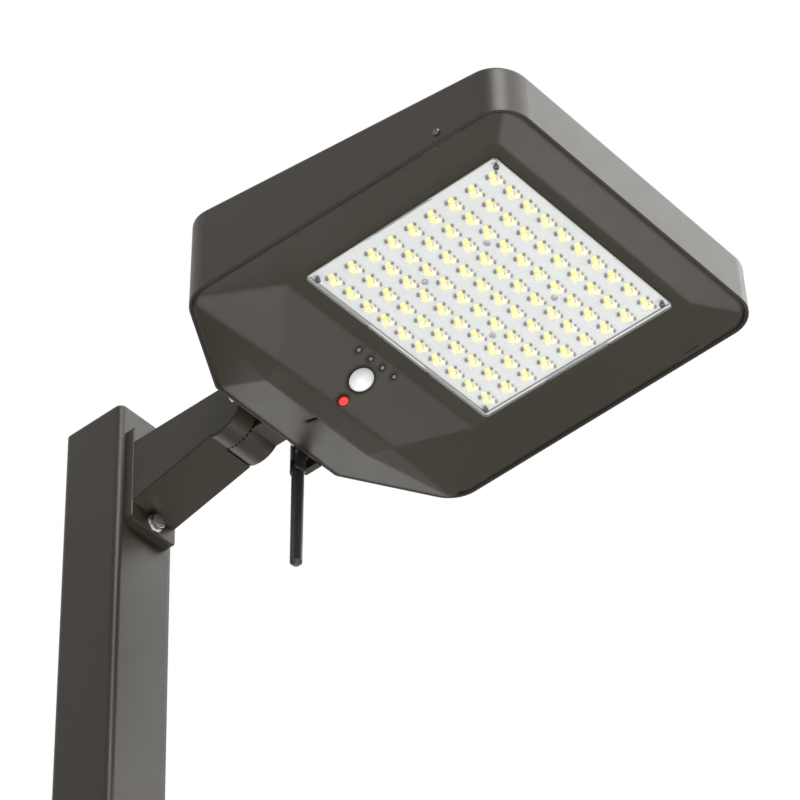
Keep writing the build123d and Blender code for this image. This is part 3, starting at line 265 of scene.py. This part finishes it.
# Materials by the record's slot, and one more for the bottom cover, whose folds are soft
bronze = (0.0242, 0.02, 0.0143)
paint = {"rough": 0.38, "grain": 1100.0, "gloss": 0.18, "vary": 0.05, "uneven": 0.05}
looks = {
    "pole_paint": solid_look("pole_paint", bronze, edge=0.002, patch=5.0, **paint),
    "casting_paint": solid_look("casting_paint", bronze, edge=0.0015, **paint),
    "cover_paint": solid_look("cover_paint", bronze, edge=0.009, edge_highlight=1.0, samples=10,
                              posts=POSTS, **paint),
    "cap_plastic": solid_look("cap_plastic", (0.012, 0.012, 0.012), 0.5, edge=0.0008),
    "steel_screws": solid_look("steel_screws", (0.4, 0.4, 0.41), 0.35, metal=1.0, edge=0.0003),
    "steel_bolts": solid_look("steel_bolts", (0.62, 0.62, 0.62), 0.28, metal=1.0, edge=0.0005),
    "dark_screws": solid_look("dark_screws", (0.12, 0.12, 0.125), 0.4, metal=0.8, edge=0.0003),
    "black_rubber": solid_look("black_rubber", (0.008, 0.008, 0.008), 0.8, gloss=0.3),
    "grey_silicone": solid_look("grey_silicone", (0.5, 0.5, 0.49), 0.55, vary=0.05, gloss=0.3),
    "white_sheet": solid_look("white_sheet", (0.72, 0.73, 0.75), 0.5, vary=0.03),
    "solar_cell": solar_look(),
    "panel_glass": clear_look("panel_glass", (0.96, 0.98, 0.97), (0.3, 0.34, 0.36), 0.03, see=0.94),
    "bare_aluminium": solid_look("bare_aluminium", (0.6, 0.6, 0.61), 0.4, metal=1.0,
                                 brushed=(1, 30, 30)),
    "white_board": solid_look("white_board", (0.53, 0.535, 0.53), 0.5, vary=0.02, grain=400.0),
    "led_phosphor": solid_look("led_phosphor", (0.86, 0.74, 0.16), 0.5, vary=0.05),
    "clear_lens": clear_look("clear_lens", (0.985, 0.99, 0.99), (0.8, 0.81, 0.81), 0.08),
    "cell_wrap": solid_look("cell_wrap", (0.02, 0.12, 0.4), 0.35),
    "black_plastic": solid_look("black_plastic", (0.012, 0.012, 0.012), 0.5, edge=0.0005),
    "clear_guide": solid_look("clear_guide", (0.034, 0.032, 0.029), 0.3, edge=0.0003),
    "green_board": solid_look("green_board", (0.01, 0.1, 0.04), 0.45),
    "milky_dome": solid_look("milky_dome", (0.64, 0.66, 0.66), 0.3, vary=0.02, depth=0.00002),
    "red_plastic": solid_look("red_plastic", (0.7, 0.011, 0.012), 0.35, vary=0.05, gloss=0.25,
                              edge=0.0006),
    "brass_connector": solid_look("brass_connector", (0.6, 0.42, 0.16), 0.3, metal=1.0),
    "antenna_plastic": solid_look("antenna_plastic", (0.019, 0.019, 0.02), 0.45, grain=700.0,
                                  edge=0.0008),
}
for part in frame["record"]["subparts"]:
    obj = nodes[part["node"]]
    look = "cover_paint" if part["node"] == "bottom_cover" else part["material_slot"]
    obj.data.materials.clear()
    obj.data.materials.append(looks[look])


# LEDs as they show through their lenses: yellow lobes with a pale wing, a small near-white painted
# glint on each, and the lens's dark feet.
# Plan sizes are in mm, and the lobes lie on a tilted grid of 1.28 mm with these two steps.

LED_COLUMNS = 9
LED_ROWS = 10
LED_FIRST_X = 495.9
LED_PITCH_X = 31.45
LED_PITCH_Y = 31.7
BOARD_LOW_Z = -0.1
SPECK_DROP = 1.1
SPECK_CROWN = 0.2
ACROSS = (0.89, 0.814)
DOWNWARD = (-1.115, 1.326)


def led_places():
    """Plan position of every LED, in mm."""
    for column in range(LED_COLUMNS):
        for row in range(LED_ROWS):
            yield LED_FIRST_X + column * LED_PITCH_X, (row - (LED_ROWS - 1) / 2) * LED_PITCH_Y


def oval(middle, half, z, crown, colours, steps=14, power=2.4):
    """Low pillow on the tilted grid: middle and half-sizes in its steps, heights in mm."""
    def on_plate(across, down):
        """Plan offset, in mm, of a step across and down that grid."""
        return ACROSS[0] * across + DOWNWARD[0] * down, ACROSS[1] * across + DOWNWARD[1] * down

    points = [(*on_plate(*middle), z - crown)]
    shades = [colours[0]]
    for ring, (reach, rise) in enumerate(((0.6, 0.85), (1.0, 0.0))):
        for step in range(steps):
            a = 2 * math.pi * step / steps
            c = math.copysign(abs(math.cos(a)) ** (2 / power), math.cos(a)) * half[0] * reach
            d = math.copysign(abs(math.sin(a)) ** (2 / power), math.sin(a)) * half[1] * reach
            points.append((*on_plate(middle[0] + c, middle[1] + d), z - crown * rise))
            share = (1 + math.sin(a)) / 2
            tone = tuple(m * (1 - share) + n * share for m, n in zip(colours[1], colours[2]))
            shades.append(tone if ring else tuple((m + n) / 2 for m, n in zip(tone, colours[0])))
    faces = [(0, 1 + i, 1 + (i + 1) % steps) for i in range(steps)]
    for i in range(steps):
        j = (i + 1) % steps
        faces.append((1 + i, 1 + steps + i, 1 + steps + j, 1 + j))
    return points, faces, shades


def coloured_mesh(name, pieces, mat, body):
    """One object from many coloured pieces, in mm from the LED plane's origin."""
    points, faces, shades = [], [], []
    for some, some_faces, some_shades in pieces:
        base = len(points)
        points += [(x * MM, y * MM, z * MM + LED_Z) for x, y, z in some]
        faces += [tuple(base + i for i in face) for face in some_faces]
        shades += some_shades
    mesh = bpy.data.meshes.new(name)
    mesh.from_pydata(points, [], faces)
    layer = mesh.color_attributes.new("shade", "FLOAT_COLOR", "POINT")
    for i, shade in enumerate(shades):
        layer.data[i].color = (*shade, 1.0)
    for face in mesh.polygons:
        face.use_smooth = True
    mesh.materials.append(mat)
    piece = bpy.data.objects.new(name, mesh)
    scene.collection.objects.link(piece)
    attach(piece, body)
    return piece


def shaded_look(name, rough):
    """Surface that takes its colour from the mesh, with fine grain."""
    mat, tree, bsdf = start(name)
    shade = tree.nodes.new("ShaderNodeVertexColor")
    shade.layer_name = "shade"
    grain = ramp(tree, noise(tree, 700.0), 0.0, 1.0)
    dim = tree.nodes.new("ShaderNodeHueSaturation")
    tree.links.new(shade.outputs["Color"], dim.inputs["Color"])
    tree.links.new(ramp(tree, grain, 0.93, 1.05, 0.0, 1.0), dim.inputs["Value"])
    tree.links.new(dim.outputs["Color"], bsdf.inputs["Base Color"])
    tree.links.new(ramp(tree, grain, rough * 0.8, rough * 1.2, 0.0, 1.0), bsdf.inputs["Roughness"])
    bsdf.inputs["Specular IOR Level"].default_value = 0.4
    return mat


# Colours at the middle, at one end and at the other end of each lobe
yellow = (0.9, 0.83, 0.24)
lemon = (0.88, 0.84, 0.36)
ochre = (0.74, 0.55, 0.2)
rose = (0.78, 0.58, 0.42)
cream = (0.92, 0.88, 0.56)
cream_edge = (0.84, 0.78, 0.6)
# Near-white colour of the painted glint on each lens
glare = (0.95, 0.94, 0.74)
olive = (0.4, 0.35, 0.16)
dark = (0.06, 0.055, 0.05)
dark_edge = (0.2, 0.18, 0.14)
brown = (0.16, 0.13, 0.09)
brown_edge = (0.36, 0.31, 0.24)
# Middle, half-sizes, drop below the board, crown and colours
lobes = (
    ((6.3, 3.4), (3.7, 3.5), 0.0, 0.25, (cream, cream_edge, cream)),
    ((1.0, 4.5), (3.9, 3.5), 0.2, 0.45, (yellow, lemon, rose)),
    ((-0.3, -1.9), (4.0, 3.6), 0.3, 0.5, (yellow, lemon, ochre)),
    # Painted glint: a small near-white lobe that stands in for the shine on each lens.
    ((1.9, 1.2), (1.5, 1.2), 0.85, 0.15, (glare, glare, glare)),
)
# Middle, half-sizes and colours
specks = (
    ((-5.6, 0.0), (1.8, 2.2), (dark, dark_edge, dark)),
    ((3.3, -4.3), (1.8, 1.7), (dark, dark, olive)),
    ((8.1, 0.1), (1.4, 1.5), (brown_edge, brown, brown_edge)),
    ((11.4, 4.2), (1.6, 2.0), (dark, brown_edge, dark_edge)),
    ((4.6, 2.0), (0.9, 1.2), (olive, olive, cream)),
)
dies, feet = [], []
for x, y in led_places():
    for some, kind in ((lobes, dies), (specks, feet)):
        for middle, half, *heights, colours in some:
            drop, crown = heights or (SPECK_DROP, SPECK_CROWN)
            points, faces, shades = oval(middle, half, BOARD_LOW_Z - drop, crown, colours)
            kind.append(([(x + a, y + b, c) for a, b, c in points], faces, shades))
led_dies_and_glints = coloured_mesh("led_dies_and_glints", dies, shaded_look("led_die", 0.45), "head")
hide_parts("led_chips")
coloured_mesh("lens_feet", feet, shaded_look("lens_foot", 0.4), "head")


# Floor, light and background

def area_light(name, spot, aim, size, power):
    """White softbox that faces a point, in metres and watts."""
    lamp = bpy.data.lights.new(name, "AREA")
    lamp.shape = "RECTANGLE"
    lamp.size, lamp.size_y = size
    lamp.energy = power
    box = bpy.data.objects.new(name, lamp)
    scene.collection.objects.link(box)
    box.location = spot
    box.rotation_euler = (Vector(aim) - Vector(spot)).to_track_quat("-Z", "Y").to_euler()
    box.visible_camera = False


head_middle = (0.58, 0.0, LED_Z)
area_light("front_box", (2.5, 0.8, 5.7), head_middle, (5.6, 3.0), 187.0)
area_light("corner_box", (2.45, -2.0, 5.75), head_middle, (1.4, 1.2), 126.0)
area_light("neck_box", (-2.08, 1.81, 2.4), (0.3, 0.0, 3.52), (1.6, 1.6), 29.0)
area_light("panel_box", (1.25, 1.98, 0.77), head_middle, (0.8, 0.8), 20.0)
area_light("up_box", (1.1, 0.2, 0.5), head_middle, (1.6, 1.6), 70.0)

FLOOR_HALF = 12.0
plane = bmesh.new()
bmesh.ops.create_grid(plane, x_segments=1, y_segments=1, size=FLOOR_HALF)
floor_mesh = bpy.data.meshes.new("floor")
plane.to_mesh(floor_mesh)
plane.free()
floor = bpy.data.objects.new("floor", floor_mesh)
scene.collection.objects.link(floor)
floor_look = solid_look("floor", (0.8, 0.8, 0.79), 0.8, vary=0.01, grain=40.0, gloss=0.1)
floor_mesh.materials.append(floor_look)


def white_sky(tree, strength):
    """White background of a strength."""
    node = tree.nodes.new("ShaderNodeBackground")
    node.inputs["Strength"].default_value = strength
    node.inputs["Color"].default_value = (1.0, 1.0, 1.0, 1.0)
    return node.outputs[0]


# The world lights the object at 0.54, and is white to the camera, to gloss and to clear pieces
world = bpy.data.worlds.new("studio")
scene.world = world
world.use_nodes = True
sky = world.node_tree
sky.nodes.clear()
rays = sky.nodes.new("ShaderNodeLightPath").outputs
mirrored = maths(sky, "MAXIMUM", rays["Is Glossy Ray"], rays["Is Transmission Ray"])
choose = sky.nodes.new("ShaderNodeMixShader")
sky.links.new(maths(sky, "MAXIMUM", rays["Is Camera Ray"], mirrored), choose.inputs[0])
sky.links.new(white_sky(sky, 0.54), choose.inputs[1])
sky.links.new(white_sky(sky, 1.0), choose.inputs[2])
sky_out = sky.nodes.new("ShaderNodeOutputWorld")
sky.links.new(choose.outputs[0], sky_out.inputs["Surface"])
